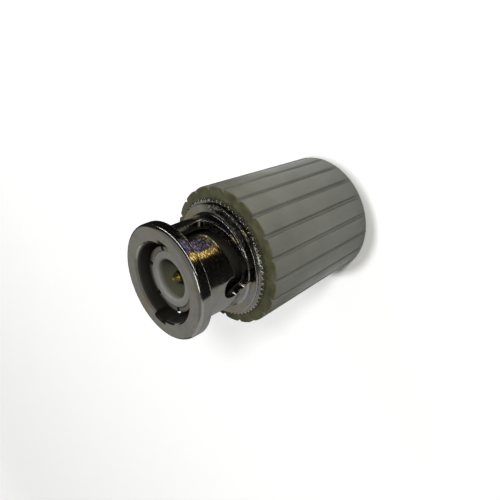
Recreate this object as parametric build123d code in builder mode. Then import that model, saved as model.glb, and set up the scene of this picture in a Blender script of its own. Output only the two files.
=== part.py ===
from build123d import *
import os
from math import cos, degrees, pi, radians, sin

# Coaxial terminator: a bayonet plug with a fluted plastic grip and a resistor inside.
# Millimetres. Z runs along the plug, the origin is the middle of the grip's closed rear end,
# and the mouth of the plug faces +Z. Depths are measured back from the mouth.

# Grip sleeve
grip_wall = 2.08
grip_taper = 0.84
grip_ribs = 20
rib_first_angle = 8.2
groove_depth = 0.34
groove_width = 0.62
groove_floor = 0.2
rib_crown = 0.10
grip_front_edge = 0.4
grip_rear_edge = 0.6
grip_rear_wall = 1.6
grip_chamber_step = 0.65
rib_trim_margin = 0.02

# Coupling nut, outside
rim_step = 1.25
rim_length = 1.7
rim_front_edge = 0.55
rim_rear_edge = 0.2
barrel_wall = 1.1
barrel_length = 6.8
barrel_fillet = 0.4
flange_lip = 0.21
flange_length = 0.55
flange_edge = 0.15
knurl_lip = 0.7
knurl_length = 0.75
knurl_edge = 0.15
knurl_teeth = 66
knurl_depth = 0.3
knurl_tooth_land = 0.12
knurl_overcut = 0.05
shank_wall = 0.9
glue_gap = 0.03

# Coupling nut, inside
socket_space = 0.84
mouth_chamfer = 0.38
ring_groove_depth = 0.4
ring_land = 0.9

# Cam slots, which take the two lugs of a socket
lug_slot_width = 2.15
slot_entry_angle = 315.0
entry_groove_depth = 0.8
window_land = 1.05
window_corner = 0.35
window_side = 1.725
bend_fillet = 1.5
slot_lead = 8.0
ramp_turn = 65.0
slot_turn = 86.0
slot_end_turn = 83.0
pocket_rise = 1.34
pocket_r = 1.4
slot_overcut = 0.6

# Spring stack behind the collar of the plug body
collar_length = 1.2
washer_width = 1.39
thrust_washer_t = 0.4
wave_washer_t = 0.2
wave_height = 0.55
waves = 3
points_per_wave = 8
ring_t = 0.8
ring_width = 1.45
ring_opening = 2.6
ring_seat_gap = 0.03

# Plug body, slotted contact and gasket
running_gap = 0.08
hub_wall = 0.52
collar_edge = 0.1
contact_tip_depth = 1.38
contact_root_r = 4.06
contact_bulge = 0.14
contact_tip_length = 0.9
contact_wall = 0.5
contact_seat = 1.6
contact_slots = 6
contact_slot_angle = 41.5
contact_slot_width = 0.5
contact_slot_length = 5.6
gasket_t = 1.1
gasket_edge = 0.2
seat_gap = 0.02

# Insulators and centre pin
insulator_tip_depth = 1.34
insulator_wall = 1.04
insulator_bore_length = 5.6
insulator_edge = 0.3
insulator_length = 11.2
insulator_in_body = 1.54
rear_insulator_length = 1.6
pin_r = 0.675
pin_shank_r = 0.9
pin_tip_depth = 1.6
pin_tip_r = 0.28
pin_tip_length = 0.8
pin_collar_r = 1.5
pin_collar_length = 0.6
pin_cup_r = 1.0
pin_cup_overhang = 0.5
cup_hole_r = 0.45
cup_hole_length = 2.2

# Resistor chamber
chamber_step = 0.36
rear_clearance = 0.8
lead_r = 0.28
lead_in_cup = 1.7
front_lead_length = 1.5
rear_lead_length = 1.46
resistor_length = 6.4
resistor_rod_r = 1.15
resistor_cap_t = 0.18
resistor_cap_length = 1.4
resistor_cap_edge = 0.14
end_cap_step = 0.6
end_cap_t = 1.0
end_cap_inset = 0.6
lead_hole_gap = 0.12
solder_r = 1.0
solder_height = 0.35
solder_bulge = 0.08

# Radii that follow, from the contact outwards and inwards
contact_tip_r = contact_root_r + contact_bulge
contact_bore_r = contact_root_r - contact_wall
insulator_r = contact_bore_r - seat_gap
insulator_bore_r = insulator_r - insulator_wall
bore_r = contact_root_r + socket_space
entry_groove_r = bore_r + entry_groove_depth
barrel_r = bore_r + barrel_wall
rim_r = barrel_r + rim_step
hub_r = contact_root_r + seat_gap + hub_wall
chamber_r = contact_bore_r - chamber_step
end_cap_r = chamber_r + end_cap_step
lead_hole_r = lead_r + lead_hole_gap
washer_inner_r = hub_r + running_gap
washer_outer_r = washer_inner_r + washer_width
rear_bore_r = washer_outer_r + running_gap
ring_outer_r = rear_bore_r + ring_groove_depth - ring_seat_gap
shank_r = rear_bore_r + shank_wall
flange_r = shank_r + flange_lip
knurl_r = shank_r + knurl_lip
grip_chamber_r = shank_r - grip_chamber_step
grip_front_r = shank_r + glue_gap + grip_wall
grip_rear_r = grip_front_r - grip_taper

# Heights that follow, from the rear end of the grip through the core to the mouth
core_travel = 2 * (wave_height - wave_washer_t)
body_rear = grip_rear_wall + core_travel + rear_clearance
end_cap_bottom = body_rear + end_cap_inset
end_cap_top = end_cap_bottom + end_cap_t
solder_bottom = end_cap_bottom - solder_height
resistor_bottom = end_cap_top + rear_lead_length
resistor_top = resistor_bottom + resistor_length
pin_rear = resistor_top + front_lead_length
lead_front = pin_rear + lead_in_cup
rear_insulator_rear = pin_rear + pin_cup_overhang
insulator_rear = rear_insulator_rear + rear_insulator_length
insulator_tip = insulator_rear + insulator_length
insulator_floor = insulator_tip - insulator_bore_length
mouth = insulator_tip + insulator_tip_depth
contact_tip = mouth - contact_tip_depth
pin_tip = mouth - pin_tip_depth

# Depths of the cam slots behind the mouth
window_depth = rim_length + window_land
bend_depth = window_depth + window_corner + window_side + lug_slot_width / 2
ramp_end_depth = bend_depth + slot_lead * ramp_turn / 360
pocket_depth = ramp_end_depth - pocket_rise

# Heights of the nut, back from the mouth, and of what is stacked behind its inner shoulder
barrel_top = mouth - rim_length
flange_top = barrel_top - barrel_length
knurl_top = flange_top - flange_length
grip_length = knurl_top - knurl_length
shoulder = insulator_rear + insulator_in_body
contact_rear = shoulder - contact_seat
collar_rear = shoulder - collar_length
thrust_rear = collar_rear - thrust_washer_t
ring_top = thrust_rear - 2 * wave_height
ring_bottom = ring_top - ring_t
nut_rear = ring_bottom - ring_land


def radial_plane(angle, depth):
    """Plane inside the barrel wall whose normal points outwards at this angle, with Y along the plug."""
    turn = radians(angle)
    return Plane(
        origin=(slot_cut_in * cos(turn), slot_cut_in * sin(turn), mouth - depth),
        x_dir=(-sin(turn), cos(turn), 0),
        z_dir=(cos(turn), sin(turn), 0),
    )


def cross_plane(angle, radius, height):
    """Plane across the path of something that turns about Z, with X pointing outwards."""
    turn = radians(angle)
    return Plane(
        origin=(radius * cos(turn), radius * sin(turn), height),
        x_dir=(cos(turn), sin(turn), 0),
        z_dir=(-sin(turn), cos(turn), 0),
    )


# Grip sleeve: crowned ribs lofted along the taper, with its ends rounded and a chamber inside
def rib_section(crest_r):
    """Closed outline of all the ribs, one crowned top and one V groove after the other."""
    step = 2 * pi / grip_ribs
    edge_r = crest_r - rib_crown
    floor_r = crest_r - groove_depth
    edge_turn = groove_width / 2 / crest_r
    floor_turn = groove_floor / 2 / crest_r
    for k in range(grip_ribs):
        groove = radians(rib_first_angle) + (k - 0.5) * step
        following = groove + step

        def at(radius, turn):
            return (radius * cos(turn), radius * sin(turn))

        Line(at(floor_r, groove - floor_turn), at(floor_r, groove + floor_turn))
        Line(at(floor_r, groove + floor_turn), at(edge_r, groove + edge_turn))
        ThreePointArc(
            at(edge_r, groove + edge_turn),
            at(crest_r, groove + step / 2),
            at(edge_r, following - edge_turn),
        )
        Line(at(edge_r, following - edge_turn), at(floor_r, following - floor_turn))


with BuildPart() as grip_sleeve:
    with BuildSketch(Plane.XY):
        with BuildLine():
            rib_section(grip_rear_r)
        make_face()
    with BuildSketch(Plane.XY.offset(grip_length)):
        with BuildLine():
            rib_section(grip_front_r)
        make_face()
    loft(ruled=True)
    # Rounded ends, as a turned envelope that trims the rib tops
    with BuildSketch(Plane.XZ) as envelope:
        with BuildLine():
            Polyline(
                (0, 0),
                (grip_rear_r + rib_trim_margin, 0),
                (grip_front_r + rib_trim_margin, grip_length),
                (0, grip_length),
                close=True,
            )
        make_face()
        rear_corner, front_corner = envelope.vertices().group_by(Axis.X)[1:]
        fillet(rear_corner, grip_rear_edge)
        fillet(front_corner, grip_front_edge)
    revolve(axis=Axis.Z, mode=Mode.INTERSECT)
    with BuildSketch(Plane.XY.offset(grip_length)):
        Circle(shank_r + glue_gap)
    extrude(amount=nut_rear - running_gap - grip_length, mode=Mode.SUBTRACT)
    with BuildSketch(Plane.XY.offset(grip_rear_wall)):
        Circle(grip_chamber_r)
    extrude(amount=nut_rear - grip_rear_wall, mode=Mode.SUBTRACT)
grip_sleeve.part.label = "grip_sleeve"

# Coupling nut: turned outside and bore, then the entry grooves, cam slots and knurl
slot_cut_in = bore_r - slot_overcut
slot_cut_out = barrel_r + slot_overcut
slot_cut = slot_cut_out - slot_cut_in
ramp_end_angle = slot_entry_angle - ramp_turn

with BuildPart() as slot_cutter:
    # Straight part behind the rim
    window_length = bend_depth - window_depth + lug_slot_width / 2
    with BuildSketch(radial_plane(slot_entry_angle, window_depth + window_length / 2)):
        RectangleRounded(lug_slot_width, window_length, window_corner)
    extrude(amount=slot_cut)
    with BuildSketch(radial_plane(slot_entry_angle, bend_depth)):
        Circle(lug_slot_width / 2)
    extrude(amount=slot_cut)
    # Helical ramp
    ramp_middle_r = (slot_cut_in + slot_cut_out) / 2
    ramp_height = ramp_end_depth - bend_depth
    with BuildLine() as ramp_path:
        Helix(slot_lead, ramp_height, ramp_middle_r, center=(0, 0, mouth - ramp_end_depth))
    ramp_line = ramp_path.line.rotate(Axis.Z, ramp_end_angle)
    ramp_start_plane = cross_plane(ramp_end_angle, ramp_middle_r, mouth - ramp_end_depth)
    with BuildSketch(ramp_start_plane):
        Rectangle(slot_cut, lug_slot_width)
    sweep(path=ramp_line, is_frenet=True)
    # Level stretch, its round end and the pocket that the lug drops into
    with BuildSketch(ramp_start_plane):
        Rectangle(slot_cut, lug_slot_width)
    revolve(axis=Axis.Z, revolution_arc=-(slot_end_turn - ramp_turn))
    with BuildSketch(radial_plane(slot_entry_angle - slot_end_turn, ramp_end_depth)):
        Circle(lug_slot_width / 2)
    extrude(amount=slot_cut)
    with BuildSketch(radial_plane(slot_entry_angle - slot_turn, pocket_depth)):
        Circle(pocket_r)
    extrude(amount=slot_cut)

with BuildPart() as coupling_nut:
    with BuildSketch(Plane.XZ) as nut_section:
        with BuildLine():
            Polyline(
                (bore_r, shoulder),
                (bore_r, mouth),
                (rim_r, mouth),
                (rim_r, barrel_top),
                (barrel_r, barrel_top),
                (barrel_r, flange_top),
                (flange_r, flange_top),
                (flange_r, knurl_top),
                (knurl_r, knurl_top),
                (knurl_r, grip_length),
                (shank_r, grip_length),
                (shank_r, nut_rear),
                (rear_bore_r, nut_rear),
                (rear_bore_r, shoulder),
                close=True,
            )
        make_face()
        with Locations((rear_bore_r + ring_groove_depth / 2, (ring_top + ring_bottom) / 2)):
            Rectangle(ring_groove_depth, ring_t + 2 * ring_seat_gap, mode=Mode.SUBTRACT)

        def corner(radius, height):
            return nut_section.vertices().sort_by_distance((radius, height))[0]

        fillet(corner(rim_r, mouth), rim_front_edge)
        fillet(corner(rim_r, barrel_top), rim_rear_edge)
        fillet(corner(barrel_r, flange_top), barrel_fillet)
        fillet(corner(flange_r, flange_top), flange_edge)
        chamfer(corner(knurl_r, knurl_top), knurl_edge)
        chamfer(corner(knurl_r, grip_length), knurl_edge)
        chamfer(corner(bore_r, mouth), mouth_chamfer)
    revolve(axis=Axis.Z)
    # Entry grooves for the lugs, inside the rim, closed outwards by a thin wall
    with BuildSketch(Plane.XY.offset(mouth)):
        Circle(entry_groove_r)
        Rectangle(2 * entry_groove_r, lug_slot_width, rotation=slot_entry_angle, mode=Mode.INTERSECT)
    extrude(amount=-bend_depth, mode=Mode.SUBTRACT)
    for half_turn in (0, 180):
        add(slot_cutter.part.rotate(Axis.Z, half_turn), mode=Mode.SUBTRACT)
    # Rounded corner where each straight part turns into its ramp
    bend_corner_turn = degrees(lug_slot_width / 2 / barrel_r)
    bend_corner_depth = bend_depth - lug_slot_width / 2
    for half_turn in (0, 180):
        turn = radians(slot_entry_angle + half_turn - bend_corner_turn)
        bend_corner = Vector(barrel_r * cos(turn), barrel_r * sin(turn), mouth - bend_corner_depth)
        wall_edges = coupling_nut.edges().filter_by(
            lambda edge: abs(edge.length - barrel_wall) < barrel_wall / 4
        )
        fillet(wall_edges.sort_by_distance(bend_corner)[0], bend_fillet)
    # Straight knurl
    tooth_step = 2 * pi * knurl_r / knurl_teeth
    with BuildSketch(Plane.XY.offset(grip_length)):
        with PolarLocations(knurl_r, knurl_teeth):
            Polygon(
                (-knurl_depth, 0),
                (knurl_overcut, -(tooth_step - knurl_tooth_land) / 2),
                (knurl_overcut, (tooth_step - knurl_tooth_land) / 2),
                align=None,
            )
    extrude(amount=knurl_length, mode=Mode.SUBTRACT)
coupling_nut.part.label = "coupling_nut"

# Retaining ring: a flat snap ring in the groove of the nut, open on one side
with BuildPart() as retaining_ring:
    with BuildSketch(Plane.XY.offset(ring_bottom)):
        Circle(ring_outer_r)
        Circle(ring_outer_r - ring_width, mode=Mode.SUBTRACT)
        with Locations((ring_outer_r, 0)):
            Rectangle(2 * ring_outer_r, ring_opening, mode=Mode.SUBTRACT)
    extrude(amount=ring_t)
retaining_ring.part.label = "retaining_ring"


# Wave washers: two wavy spring rings, crest to crest, between the ring and the thrust washer
def wave_face(inner_r, outer_r, base, sign):
    """Wavy ring surface: height follows a cosine round the ring, rising or falling at angle 0."""
    swing = (wave_height - wave_washer_t - seat_gap) / 2
    count = points_per_wave * waves

    def loop(radius):
        points = []
        for k in range(count):
            turn = 2 * pi * k / count
            height = base + swing * (1 + sign * cos(waves * turn))
            points.append((radius * cos(turn), radius * sin(turn), height))
        return Spline(*points, periodic=True)

    with BuildLine() as inner:
        loop(inner_r)
    with BuildLine() as outer:
        loop(outer_r)
    return Face.make_surface_from_curves(outer.edge(), inner.edge())


wave_washer = {}
for name, base, sign in (
    ("wave_washer_rear", ring_top, 1),
    ("wave_washer_front", ring_top + wave_height, -1),
):
    with BuildPart() as washer:
        spring_face = wave_face(washer_inner_r + running_gap, washer_outer_r, base, sign)
        extrude(spring_face, amount=wave_washer_t, dir=(0, 0, 1))
    washer.part.label = name
    wave_washer[name] = washer

# Thrust washer: flat, between the springs and the collar
with BuildPart() as thrust_washer:
    with BuildSketch(Plane.XY.offset(thrust_rear)):
        Circle(washer_outer_r)
        Circle(washer_inner_r, mode=Mode.SUBTRACT)
    extrude(amount=thrust_washer_t)
thrust_washer.part.label = "thrust_washer"

# Plug body: collar at the front, tube for the resistor behind it, seats for what is pressed in
with BuildPart() as plug_body:
    with BuildSketch(Plane.XZ):
        with BuildLine():
            Polyline(
                (contact_root_r + seat_gap, shoulder),
                (washer_outer_r, shoulder),
                (washer_outer_r, collar_rear),
                (hub_r, collar_rear),
                (hub_r, body_rear),
                (end_cap_r, body_rear),
                (end_cap_r, end_cap_top),
                (chamber_r, end_cap_top),
                (chamber_r, rear_insulator_rear),
                (contact_bore_r, rear_insulator_rear),
                (contact_bore_r, contact_rear),
                (contact_root_r + seat_gap, contact_rear),
                close=True,
            )
        make_face()
    revolve(axis=Axis.Z)
    outer_rims = plug_body.edges().filter_by(GeomType.CIRCLE).group_by(SortBy.RADIUS)[-1]
    chamfer(outer_rims, collar_edge)
plug_body.part.label = "plug_body"

# Outer contact: sleeve with spring fingers, a little fuller at the tips
with BuildPart() as outer_contact:
    with BuildSketch(Plane.XZ) as contact_section:
        with BuildLine():
            Polyline(
                (contact_bore_r, contact_rear),
                (contact_root_r, contact_rear),
                (contact_root_r, contact_tip - contact_tip_length - contact_bulge),
                (contact_tip_r, contact_tip - contact_tip_length),
                (contact_tip_r, contact_tip),
                (contact_bore_r, contact_tip),
                close=True,
            )
        make_face()
        fillet(contact_section.vertices().group_by(Axis.Y)[-1], contact_bulge)
    revolve(axis=Axis.Z)
    with BuildSketch(Plane.XY.offset(contact_tip)):
        with PolarLocations(contact_tip_r, contact_slots, start_angle=contact_slot_angle):
            Rectangle(2 * contact_tip_r, contact_slot_width)
    extrude(amount=-contact_slot_length, mode=Mode.SUBTRACT)
outer_contact.part.label = "outer_contact"

# Gasket: soft ring round the foot of the contact, which the socket's edge presses on
with BuildPart() as gasket:
    with BuildSketch(Plane.XZ) as gasket_section:
        gasket_in = contact_root_r + seat_gap
        gasket_out = bore_r - running_gap
        with Locations(((gasket_in + gasket_out) / 2, shoulder + gasket_t / 2)):
            Rectangle(gasket_out - gasket_in, gasket_t)
        fillet(gasket_section.vertices().group_by(Axis.Y)[-1], gasket_edge)
    revolve(axis=Axis.Z)
gasket.part.label = "gasket"

# Front insulator: open cup round the pin at the front, stepped hole for the pin's collar behind
with BuildPart() as front_insulator:
    with BuildSketch(Plane.XZ) as insulator_section:
        with BuildLine():
            Polyline(
                (pin_shank_r + seat_gap, insulator_floor),
                (insulator_bore_r, insulator_floor),
                (insulator_bore_r, insulator_tip),
                (insulator_r, insulator_tip),
                (insulator_r, insulator_rear),
                (pin_collar_r + seat_gap, insulator_rear),
                (pin_collar_r + seat_gap, insulator_rear + pin_collar_length),
                (pin_shank_r + seat_gap, insulator_rear + pin_collar_length),
                close=True,
            )
        make_face()
        mouth_edge = insulator_section.vertices().sort_by_distance((insulator_bore_r, insulator_tip))[0]
        fillet(mouth_edge, insulator_edge)
    revolve(axis=Axis.Z)
front_insulator.part.label = "front_insulator"

# Rear insulator: bush behind the pin's collar
with BuildPart() as rear_insulator:
    with BuildSketch(Plane.XY.offset(rear_insulator_rear)):
        Circle(insulator_r)
        Circle(pin_cup_r + seat_gap, mode=Mode.SUBTRACT)
    extrude(amount=rear_insulator_length)
rear_insulator.part.label = "rear_insulator"

# Centre pin: rounded tip, collar between the insulators, solder cup at the rear
with BuildPart() as centre_pin:
    with BuildSketch(Plane.XZ):
        with BuildLine():
            Polyline(
                (pin_r, pin_tip - pin_tip_length),
                (pin_r, insulator_floor),
                (pin_shank_r, insulator_floor),
                (pin_shank_r, insulator_rear + pin_collar_length),
                (pin_collar_r, insulator_rear + pin_collar_length),
                (pin_collar_r, insulator_rear),
                (pin_cup_r, insulator_rear),
                (pin_cup_r, pin_rear),
                (0, pin_rear),
                (0, pin_tip),
            )
            tip_corner = (pin_tip_r, pin_tip - pin_tip_r)
            TangentArc(tip_corner, (0, pin_tip), tangent=(0, 1))
            Line(tip_corner, (pin_r, pin_tip - pin_tip_length))
        make_face()
    revolve(axis=Axis.Z)
    with BuildSketch(Plane.XY.offset(pin_rear)):
        Circle(cup_hole_r)
    extrude(amount=cup_hole_length, mode=Mode.SUBTRACT)
centre_pin.part.label = "centre_pin"

# Leads of the resistor, soldered at the pin and at the end cap
with BuildPart() as front_lead:
    with BuildSketch(Plane.XY.offset(resistor_top)):
        Circle(lead_r)
    extrude(amount=lead_front - resistor_top)
front_lead.part.label = "front_lead"

with BuildPart() as rear_lead:
    with BuildSketch(Plane.XY.offset(solder_bottom)):
        Circle(lead_r)
    extrude(amount=resistor_bottom - solder_bottom)
rear_lead.part.label = "rear_lead"

with BuildPart() as front_solder:
    with BuildSketch(Plane.XY.offset(pin_rear)):
        Circle(cup_hole_r - seat_gap)
        Circle(lead_r + seat_gap / 2, mode=Mode.SUBTRACT)
    extrude(amount=lead_in_cup)
front_solder.part.label = "front_solder"

# Resistor: ceramic rod between two pressed-on metal caps
with BuildPart() as resistor_rod:
    with BuildSketch(Plane.XY.offset(resistor_bottom + resistor_cap_t)):
        Circle(resistor_rod_r)
    extrude(amount=resistor_length - 2 * resistor_cap_t)
resistor_rod.part.label = "resistor_rod"

resistor_caps = {}
for name, outer_face, inwards in (
    ("resistor_cap_front", resistor_top, -1),
    ("resistor_cap_rear", resistor_bottom, 1),
):
    with BuildPart() as cap:
        with BuildSketch(Plane.XY.offset(outer_face)):
            Circle(resistor_rod_r + seat_gap + resistor_cap_t)
        extrude(amount=inwards * resistor_cap_length)
        with BuildSketch(Plane.XY.offset(outer_face + inwards * resistor_cap_t)):
            Circle(resistor_rod_r + seat_gap)
        extrude(amount=inwards * resistor_cap_length, mode=Mode.SUBTRACT)
        outer_rim = cap.edges().filter_by(GeomType.CIRCLE).sort_by(Axis.Z, reverse=inwards < 0)[0]
        fillet(outer_rim, resistor_cap_edge)
    cap.part.label = name
    resistor_caps[name] = cap

# End cap: closes the tube and takes the rear lead
with BuildPart() as end_cap:
    with BuildSketch(Plane.XY.offset(end_cap_bottom)):
        Circle(end_cap_r - seat_gap)
        Circle(lead_hole_r, mode=Mode.SUBTRACT)
    extrude(amount=end_cap_t)
end_cap.part.label = "end_cap"

# Rear solder: a dome over the end cap's hole, round the lead
with BuildPart() as rear_solder:
    with BuildSketch(Plane.XZ):
        with BuildLine():
            lead_side = lead_r + seat_gap / 2
            Polyline(
                (lead_side, solder_bottom),
                (lead_side, end_cap_bottom),
                (solder_r, end_cap_bottom),
            )
            SagittaArc((solder_r, end_cap_bottom), (lead_side, solder_bottom), solder_bulge)
        make_face()
    revolve(axis=Axis.Z)
rear_solder.part.label = "rear_solder"

os.makedirs("parts", exist_ok=True)
for piece in (
    grip_sleeve,
    coupling_nut,
    retaining_ring,
    *wave_washer.values(),
    thrust_washer,
    plug_body,
    outer_contact,
    gasket,
    front_insulator,
    rear_insulator,
    centre_pin,
    front_solder,
    front_lead,
    rear_lead,
    resistor_rod,
    *resistor_caps.values(),
    end_cap,
    rear_solder,
):
    export_step(piece.part, f"parts/{piece.part.label}.step")
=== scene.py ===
import math

import bmesh
import bpy
from mathutils import Matrix, Vector
from mathutils.geometry import delaunay_2d_cdt


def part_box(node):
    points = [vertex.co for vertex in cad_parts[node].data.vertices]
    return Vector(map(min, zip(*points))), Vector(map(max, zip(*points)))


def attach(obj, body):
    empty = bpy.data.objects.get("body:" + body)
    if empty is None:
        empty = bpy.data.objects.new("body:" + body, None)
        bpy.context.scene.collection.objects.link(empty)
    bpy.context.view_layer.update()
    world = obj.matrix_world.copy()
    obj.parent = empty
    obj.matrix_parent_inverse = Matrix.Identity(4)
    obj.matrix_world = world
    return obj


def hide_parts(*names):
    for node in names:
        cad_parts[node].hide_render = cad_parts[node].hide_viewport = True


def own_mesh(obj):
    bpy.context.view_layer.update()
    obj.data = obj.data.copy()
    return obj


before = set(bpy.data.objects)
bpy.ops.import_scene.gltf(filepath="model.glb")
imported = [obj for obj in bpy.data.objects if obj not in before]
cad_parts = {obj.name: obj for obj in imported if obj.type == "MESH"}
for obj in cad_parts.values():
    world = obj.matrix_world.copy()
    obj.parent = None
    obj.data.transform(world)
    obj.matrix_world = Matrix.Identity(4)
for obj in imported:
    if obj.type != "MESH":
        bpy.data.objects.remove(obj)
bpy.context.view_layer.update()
mm = 0.001
scene = bpy.context.scene
print("frame loaded:", len(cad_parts), "nodes")

# Places that the frame gives, in metres; heights count from the rear end of the grip
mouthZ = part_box("coupling_nut")[1].z
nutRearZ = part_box("coupling_nut")[0].z
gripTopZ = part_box("grip_sleeve")[1].z
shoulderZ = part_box("plug_body")[1].z
contactLow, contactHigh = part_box("outer_contact")
insulatorLow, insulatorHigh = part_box("front_insulator")
pinLow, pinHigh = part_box("centre_pin")


# Small tools for materials
def newMaterial(name, **values):
    material = bpy.data.materials.new(name)
    material.use_nodes = True
    shader = material.node_tree.nodes["Principled BSDF"]
    for socket, value in values.items():
        shader.inputs[socket.replace("_", " ")].default_value = value
    return material, shader


def emptyMaterial(name):
    material = bpy.data.materials.new(name)
    material.use_nodes = True
    material.node_tree.nodes.clear()
    return material


def addNode(tree, kind, inputs=None, **settings):
    made = tree.nodes.new(kind)
    for key, value in settings.items():
        setattr(made, key, value)
    for key, value in (inputs or {}).items():
        if isinstance(value, bpy.types.NodeSocket):
            tree.links.new(value, made.inputs[key])
        else:
            made.inputs[key].default_value = value
    return made


def calc(tree, operation, a, b=0.0, c=0.0):
    return addNode(tree, "ShaderNodeMath", {0: a, 1: b, 2: c}, operation=operation).outputs[0]


def clamp(tree, value):
    return addNode(tree, "ShaderNodeClamp", {0: value}).outputs[0]


def ramp(tree, value, low, high):
    # low and high: (value, grey level)
    made = addNode(tree, "ShaderNodeValToRGB", {"Fac": value})
    for element, (position, level) in zip(made.color_ramp.elements, (low, high)):
        element.position = position
        element.color = (level, level, level, 1)
    return made.outputs["Color"]


def polish(tree, marks, gloss, haze):
    return ramp(tree, marks, (0.3, gloss), (0.7, haze))


def objectPoint(tree):
    return addNode(tree, "ShaderNodeTexCoord").outputs["Object"]


def axesOf(tree, point):
    return addNode(tree, "ShaderNodeSeparateXYZ", {0: point}).outputs


def axisDistance(tree, x, y):
    squares = calc(tree, "ADD", calc(tree, "MULTIPLY", x, x), calc(tree, "MULTIPLY", y, y))
    return calc(tree, "SQRT", squares)


def turnedPoint(tree, point, perRadian):
    # (radius, height, angle): a pattern on it runs round the axis, as marks of turning do
    x, y, z = axesOf(tree, point)
    radius = axisDistance(tree, x, y)
    angle = calc(tree, "MULTIPLY", calc(tree, "ARCTAN2", y, x), perRadian)
    return addNode(tree, "ShaderNodeCombineXYZ", {0: radius, 1: z, 2: angle}).outputs[0], radius, z


def noiseOn(tree, point, scale, detail=3.0, roughness=0.5):
    inputs = {"Vector": point, "Scale": scale, "Detail": detail, "Roughness": roughness}
    return addNode(tree, "ShaderNodeTexNoise", inputs).outputs["Fac"]


def mixColour(tree, share, a, b):
    a, b = (value if isinstance(value, bpy.types.NodeSocket) else (*value, 1) for value in (a, b))
    return addNode(tree, "ShaderNodeMix", {0: share, 6: a, 7: b}, data_type="RGBA").outputs[2]


def bumpOn(tree, shader, height, distance, under=None):
    inputs = {"Height": height, "Distance": distance}
    if under:
        inputs["Normal"] = under
    normal = addNode(tree, "ShaderNodeBump", inputs).outputs["Normal"]
    tree.links.new(normal, shader.inputs["Normal"])
    return normal


# Nickel plate: turning marks, scratches, stains, a pitted patch with painted shade in its pits, and painted
# shade that darkens the inside
nickelLook = {
    "stain": (0.60, 0.53, 0.38),
    "stainPerMetre": 420,
    "stainRamp": ((0.50, 0), (0.72, 0.85)),
    "cool": (0.52, 0.53, 0.62),
    "coolPerMetre": 610,
    "coolRamp": ((0.52, 0), (0.74, 0.8)),
    "turningPerMetre": 5200,
    "turningPerRadian": 0.6 * mm,
    "turningDepth": 0.0016 * mm,
    "scratchPerMetre": 900,
    "scratchPerRadian": 4.0 * mm,
    "scratchDepth": 0.006 * mm,
    "sparklePerMetre": 6800,
    "sparklePerRadian": 2.5 * mm,
    "sparkleDepth": 0.0022 * mm,
    "pitRamp": ((0.50, 1), (0.60, 0)),
    "pitShade": 0.25,
    "sparkleStart": 0.5 * mm,
    "sparkleEnd": 9.3 * mm,
    "sparkleLeft": -2.5 * mm,
    "sparkleFront": 1.5 * mm,
    "sparkleFade": 2.0 * mm,
    # insideShade: painted shade for the bore, the entry grooves and the slot walls
    "insideShade": (0.10, 0.095, 0.08),
    "insideMetal": 0.86,
    "insideHaze": 0.3,
    "insideDepth": 0.16 * mm,
    "insideFade": 0.10 * mm,
    "grooveRadius": 5.9 * mm,
    "grooveDepth": 2.6 * mm,
}
nutPlate = {
    "colour": (0.66, 0.65, 0.61),
    "gloss": 0.08,
    "haze": 0.22,
    "boreRadius": 5.0 * mm,
    "mouthLevel": mouthZ,
}
contactPlate = {
    "colour": (0.50, 0.49, 0.47),
    "gloss": 0.26,
    "haze": 0.42,
    "boreRadius": contactHigh.x * 1.2,  # wider than the sleeve, so that painted shade darkens it and it is dull on both sides
    "mouthLevel": contactHigh.z,
}


def insideMask(tree, radius, z, edge, level, fade, depthFade=None):
    # 1 on walls nearer to the axis than edge and lower than level
    inward = calc(tree, "DIVIDE", calc(tree, "SUBTRACT", edge, radius), fade)
    behind = calc(tree, "DIVIDE", calc(tree, "SUBTRACT", level, z), depthFade or fade)
    return calc(tree, "MULTIPLY", clamp(tree, inward), clamp(tree, behind))


def shadedInside(tree, radius, z, plate):
    # 1 inside the bore and the entry grooves, where painted shade darkens the colour and the plating is
    # duller
    level = plate["mouthLevel"] - nickelLook["insideDepth"]
    fade = nickelLook["insideFade"]
    bore = insideMask(tree, radius, z, plate["boreRadius"], level, fade)
    grooves = insideMask(tree, radius, z, nickelLook["grooveRadius"], level, fade)
    inRim = calc(tree, "GREATER_THAN", z, plate["mouthLevel"] - nickelLook["grooveDepth"])
    return calc(tree, "MAXIMUM", bore, calc(tree, "MULTIPLY", grooves, inRim))


def pittedPatch(tree, point, mouthLevel):
    # 1 on the front (-Y) side from sparkleLeft towards +X, between the mouth and the flange
    look = nickelLook
    x, y, z = axesOf(tree, point)
    rightward = calc(tree, "DIVIDE", calc(tree, "SUBTRACT", x, look["sparkleLeft"]), look["sparkleFade"])
    frontward = calc(tree, "DIVIDE", calc(tree, "ADD", y, look["sparkleFront"]), -look["sparkleFade"])
    patch = calc(tree, "LESS_THAN", z, mouthLevel - look["sparkleStart"])
    above = calc(tree, "GREATER_THAN", z, mouthLevel - look["sparkleEnd"])
    for share in (above, rightward, frontward):
        patch = calc(tree, "MULTIPLY", patch, clamp(tree, share))
    return patch


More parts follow.
